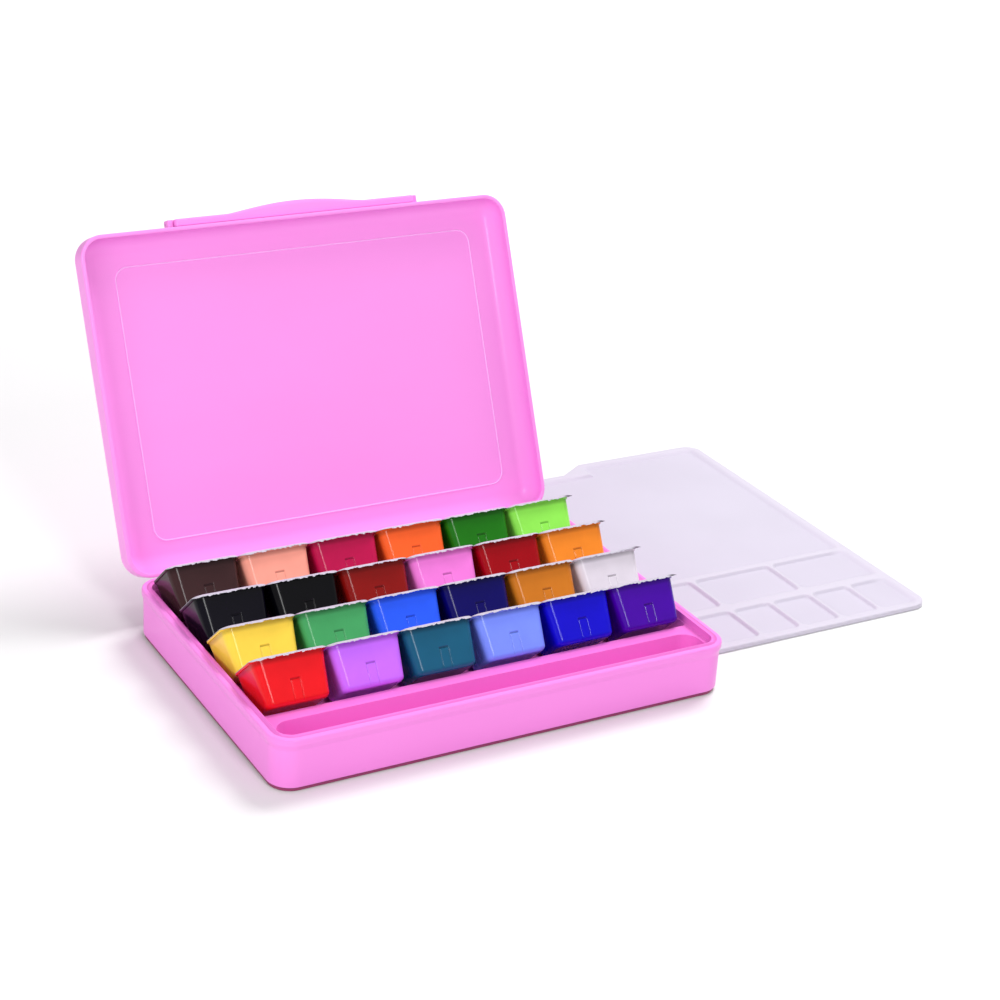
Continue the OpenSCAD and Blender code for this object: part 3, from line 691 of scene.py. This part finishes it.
sealMaterial = foilFinish()
cupStack, cupShadeMask = cupRings()
cupSkin = capped(cupStack)
for index, (name, code) in enumerate(paints.items()):
    place = cupPlace(name)
    makePiece("cup_" + name + "_shell", [scaled(cupSkin, place)], "cup_" + name, cupPlastic(name, code),
              ["cup_" + name], sharp=60, marked=cupShadeMask)
    sealStack, sealTabMask = sealRings(index + 3, tab=index % 6 == 5)
    makePiece("seal_" + name + "_foil", [scaled(capped(sealStack), place)], "cup_" + name, sealMaterial,
              ["seal_" + name], sharp=70, marked=sealTabMask)
print("cups and seals built")


# The second tone, paler, is a painted highlight on the rims and ridges.
palette = {"rim": 6.6, "ridge": 3.6, "pitch": 31.4, "small": 35.0, "medium": 37.0, "rowGap": 5.0,
           "mixGap": 6.0, "leastWell": 8.0, "wellR": 4.0, "floor": 1.0, "high": 3.0, "edgeR": 0.8,
           "cornerR": 12.0, "cutL": 68.0, "cutD": 12.7, "slope": 20.0, "soft": 2.6, "rimSoft": 6.5,
           "stretched": 25.0, "tone": "#C5BFCE", "paintedTopTone": "#CEC8D6"}


# The palette's top is a height over a grid: its rim's height, less a soft step down into each well. The
# grid is stretched so that its front and back rows follow the outline.
def buildPalette():
    p = palette
    low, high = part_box("mixing_palette")
    w, d = (high.x - low.x) / mm, (high.y - low.y) / mm
    right = w - p["rim"]
    smallY = p["rim"]
    mediumY = smallY + p["small"] + p["ridge"] + p["rowGap"]
    mixY = mediumY + p["medium"] + p["mixGap"]
    wells = []
    for pitch, y, length in ((p["pitch"], smallY, p["small"]), (2 * p["pitch"], mediumY, p["medium"])):
        x = right
        while x > p["rim"] + p["ridge"] + p["leastWell"]:
            wells.append((max(p["rim"], x - pitch + p["ridge"]), x, y, y + length))
            x -= pitch
    cutTo = p["cutL"] + p["slope"]
    wells.append((p["rim"], right, mixY, d - p["rim"] - p["cutD"]))
    wells.append((cutTo, right, mixY, d - p["rim"]))

    # Places along one side: close together at the wells' edges and at both ends.
    def sampled(length, edges):
        fine = np.concatenate([e + np.linspace(-1.2, 1.2, 9) for e in edges])
        coarse = np.linspace(0, length, 90)
        ends = length / 2 - length / 2 * np.cos(np.linspace(0, np.pi, 60))
        every = np.unique(np.round(np.clip(np.concatenate([fine, coarse, ends]), 0, length), 2))
        return every[np.concatenate([[True], np.diff(every) > 0.12])]

    gx = sampled(w, [e for well in wells for e in well[:2]] + [p["cutL"], cutTo])
    gy = sampled(d, [e for well in wells for e in well[2:]] + list(np.arange(d - 30, d - 2, 2.0)))
    gx[-1], gy[-1] = w, d
    fromEdge = np.minimum(gx, w - gx)
    inArc = np.clip(p["cornerR"] - fromEdge, 0, None)
    lowEdge = p["cornerR"] - np.sqrt(np.clip(p["cornerR"] ** 2 - inArc ** 2, 0, None))
    cut = p["cutD"] * np.clip((cutTo - gx) / p["slope"], 0, 1)
    highEdge = d - np.where(gx < w / 2, cut + np.where(gx < 2, (2 - gx) * 0.6, 0), lowEdge)
    share = gy / d
    squeeze = np.clip(1 - np.abs(share - np.round(share)) * d / p["stretched"], 0, 1)
    gridX = np.broadcast_to(gx[:, None], (len(gx), len(gy)))
    straight = np.broadcast_to(gy[None], gridX.shape)
    gridY = np.where(share[None] < 0.5, straight + lowEdge[:, None] * squeeze[None],
                     straight - (d - highEdge)[:, None] * squeeze[None])

    nearRim = np.clip(1.8 - np.minimum(np.minimum(gridX, w - gridX), highEdge[:, None] - gridY) / 9, 0, 1)
    soft = p["soft"] + (p["rimSoft"] - p["soft"]) * nearRim

    # How deep in a well each place is, from 0 to 1: its distance t outside a rounded rectangle, over the
    # width of the soft edge, taken through 3 t^2 - 2 t^3.
    def pocket(x0, x1, y0, y1):
        qx = np.abs(gridX - (x0 + x1) / 2) - (x1 - x0) / 2 + p["wellR"]
        qy = np.abs(gridY - (y0 + y1) / 2) - (y1 - y0) / 2 + p["wellR"]
        outside = np.hypot(np.clip(qx, 0, None), np.clip(qy, 0, None)) - p["wellR"]
        outside += np.minimum(np.maximum(qx, qy), 0)
        t = np.clip(0.5 - outside / soft, 0, 1)
        return t * t * (3 - 2 * t)

    depth = np.zeros_like(gridX)
    for well in wells:
        depth = np.maximum(depth, pocket(*well))
    edgeX = np.minimum(gridX, w - gridX)
    edgeY = np.minimum(gridY - lowEdge[:, None], highEdge[:, None] - gridY)
    edge = np.clip(np.minimum(edgeX, edgeY), 0, 1)
    rounded = p["edgeR"] * (1 - np.sqrt(1 - (1 - edge) ** 2))
    top = p["high"] - (p["high"] - p["floor"]) * depth - rounded
    nx, ny = gridX.shape
    upper = np.stack([gridX, gridY, top], -1).reshape(-1, 3)
    lower = np.stack([gridX, gridY, np.zeros_like(gridX)], -1).reshape(-1, 3)
    i, k = np.meshgrid(np.arange(nx - 1), np.arange(ny - 1), indexing="ij")
    a = (i * ny + k).ravel()
    quad = np.stack([a, a + ny, a + ny + 1, a + 1], -1)
    count = nx * ny
    rim = np.concatenate([np.arange(nx) * ny, (nx - 1) * ny + np.arange(1, ny),
                          np.arange(nx - 2, -1, -1) * ny + ny - 1, np.arange(ny - 2, 0, -1)])
    nextRim = np.roll(rim, -1)
    wall = np.stack([rim, rim + count, nextRim + count, nextRim], -1)
    quads = np.vstack([quad, quad[:, ::-1] + count, wall])
    points = np.vstack([upper, lower]) * mm + np.array([low.x, low.y, 0])
    skin = outward(points, quads, np.zeros((0, 3), int))
    makePiece("mixingPalette", [skin], "palette", milkyPlastic(), ["mixing_palette"], sharp=60)


# Milky plastic: a pale clouded tone, with a soft bloom and fine scratches. Above the wells' floor, on the
# rims and ridges, it is paler: a painted highlight.
def milkyPlastic():
    m = Finish("milkyPlastic", **{"IOR": 1.45, "Coat Weight": 0.1, "Coat Roughness": 0.15,
                                   "Specular IOR Level": 0.35})
    bloom = m.noise(14.0, 3.0)
    scratch = ((m.noise(240.0, 4.0, (1, 12, 1), 0.65) - 0.6) * 5.0).clipped()
    body = m.blend(bloom, colour(palette["tone"]), shade(colour(palette["tone"]), 1.1))
    height = m.add("ShaderNodeSeparateXYZ", {}, {0: m.places()}, output=2)
    # Above the wells' floor the colour is paler: a painted highlight on the rims and ridges.
    paintedTopLight = ((height - palette["floor"] * mm) * 800.0 - 0.5).clipped()
    m.feed(Base_Color=m.blend(paintedTopLight, body, colour(palette["paintedTopTone"])))
    m.feed(Roughness=0.3 + bloom * 0.08 + scratch * 0.12)
    m.feed(Normal=m.bump(m.noise(90.0, 2.0) + scratch * 0.2, 0.06, 0.0005))
    return m.material


buildPalette()
print("palette built")


pin = {"dark": "#AFAFB6", "pale": "#DADAE0"}


# Drawn steel wire: fine rings along its length.
def pinSteel():
    m = Finish("pinSteel")
    rings = m.noise(500.0, 3.0, (8, 1, 1))
    m.feed(Base_Color=m.blend(rings, colour(pin["dark"]), colour(pin["pale"])))
    m.feed(Roughness=0.28 + rings * 0.15)
    m.feed(Metallic=0.9 + rings * 0.1)
    return m.material


# The pins keep their modelled shape.
steel = pinSteel()
for node in ("lid_hinge_pins", "handle_pins"):
    pins = frame["nodes"][node]
    pins.data.materials.clear()
    pins.data.materials.append(steel)
print("pins finished")


# Metres and watts. A lamp's size is its width and its length.
studio = {"floorSize": 14.0, "floorZ": -0.0003, "world": 0.59, "farFrom": 0.6, "farGlow": 0.9,
          "aim": (0, 0.05, 0.05)}
lamps = {"key": {"place": (0.9, 0.5, 1.5), "power": 27.0, "size": (0.8, 0.8), "glossy": False},
         "fill": {"place": (-1.4, -0.5, 0.6), "power": 9.0, "size": (0.9, 0.6), "glossy": False},
         "strip": {"place": (-0.1, -1.0, 0.95), "power": 5.9, "size": (0.27, 0.5), "glossy": True}}
# Angles are in radians and the shift, from the camera to the case's origin, is in millimetres.
photo = {"focalPx": 2239.0, "framePx": 1000.0, "sensor": 36.0, "azimuth": 0.537, "elevation": 0.425,
         "roll": 0.065, "shift": (-44.198, 97.378, 1363.825)}


# A pale floor. Far from the case it glows a little to the camera, so that it meets the white sky: the
# glow grows with the distance from the middle, r = sqrt(x^2 + y^2).
def floorWhite():
    m = Finish("floorWhite", **{"Roughness": 0.9, "Specular IOR Level": 0.05, "Emission Strength": 1.0})
    m.feed(Base_Color=m.blend(m.noise(3.0), (0.79, 0.79, 0.795, 1), (0.81, 0.81, 0.81, 1)))
    far = m.add("ShaderNodeVectorMath", {"operation": "LENGTH"}, {0: m.places()}, output=1)
    toCamera = m.add("ShaderNodeLightPath", output="Is Camera Ray")
    glow = (studio["farGlow"],) * 3 + (1,)
    grown = ((far - studio["farFrom"]) * 0.7).clipped()
    m.feed(Emission_Color=m.blend(toCamera * grown, (0, 0, 0, 1), glow))
    return m.material


# A pale floor, a soft world that the camera sees as white, two broad lamps and a narrow one.
def buildStudio():
    half = studio["floorSize"] / 2
    mesh = bpy.data.meshes.new("floor")
    corners = [(x * half, y * half, studio["floorZ"]) for x, y in ((-1, -1), (1, -1), (1, 1), (-1, 1))]
    mesh.from_pydata(corners, [], [(0, 1, 2, 3)])
    floor = bpy.data.objects.new("floor", mesh)
    bpy.context.scene.collection.objects.link(floor)
    floor.data.materials.append(floorWhite())
    world = bpy.data.worlds.new("studio")
    bpy.context.scene.world = world
    world.use_nodes = True
    world.node_tree.nodes.clear()
    sky = NodeSet(world.node_tree)
    byEye = sky.add("ShaderNodeLightPath", output="Is Camera Ray")
    throughGlass = sky.add("ShaderNodeLightPath", output="Is Transmission Ray")
    seen = sky.add("ShaderNodeBackground", {}, {"Color": (1, 1, 1, 1), "Strength": 1.0})
    lit = sky.add("ShaderNodeBackground", {}, {"Strength": studio["world"]})
    either = sky.add("ShaderNodeMath", {"operation": "MAXIMUM"}, {0: byEye, 1: throughGlass})
    both = sky.add("ShaderNodeMixShader", {}, {0: either, 1: lit, 2: seen})
    sky.add("ShaderNodeOutputWorld", {}, {0: both})
    for name, values in lamps.items():
        lamp = bpy.data.lights.new(name, "AREA")
        lamp.shape = "RECTANGLE"
        lamp.energy = values["power"]
        lamp.size, lamp.size_y = values["size"]
        holder = bpy.data.objects.new(name, lamp)
        holder.location = values["place"]
        holder.visible_glossy = values["glossy"]
        towards = Vector(studio["aim"]) - Vector(values["place"])
        holder.rotation_euler = towards.to_track_quat("-Z", "Y").to_euler()
        bpy.context.scene.collection.objects.link(holder)


# The camera as fitted to the photo: its direction from azimuth and elevation, turned about that by the
# roll, and its place, in the case's own frame.
def placeCamera():
    az, el, roll = photo["azimuth"], photo["elevation"], photo["roll"]
    forward = -np.array([-math.sin(az) * math.cos(el), -math.cos(az) * math.cos(el), math.sin(el)])
    right = np.cross(forward, [0, 0, 1])
    right /= np.linalg.norm(right)
    up = np.cross(right, forward)
    right, up = (math.cos(roll) * right + math.sin(roll) * up,
                 -math.sin(roll) * right + math.cos(roll) * up)
    axes = np.stack([right, -up, forward])
    spot = -axes.T @ np.array(photo["shift"]) * mm
    lens = bpy.data.cameras.new("photoCamera")
    lens.sensor_width = photo["sensor"]
    lens.lens = photo["sensor"] * photo["focalPx"] / photo["framePx"]
    lens.clip_start, lens.clip_end = 0.01, 20
    camera = bpy.data.objects.new("photoCamera", lens)
    turn = np.eye(4)
    turn[:3] = np.stack([right, up, -forward, spot], -1)
    camera.matrix_world = Matrix(turn.tolist())
    bpy.context.scene.collection.objects.link(camera)
    bpy.context.scene.camera = camera


buildStudio()
placeCamera()
bpy.context.scene.view_settings.view_transform = "Standard"
print("studio ready")
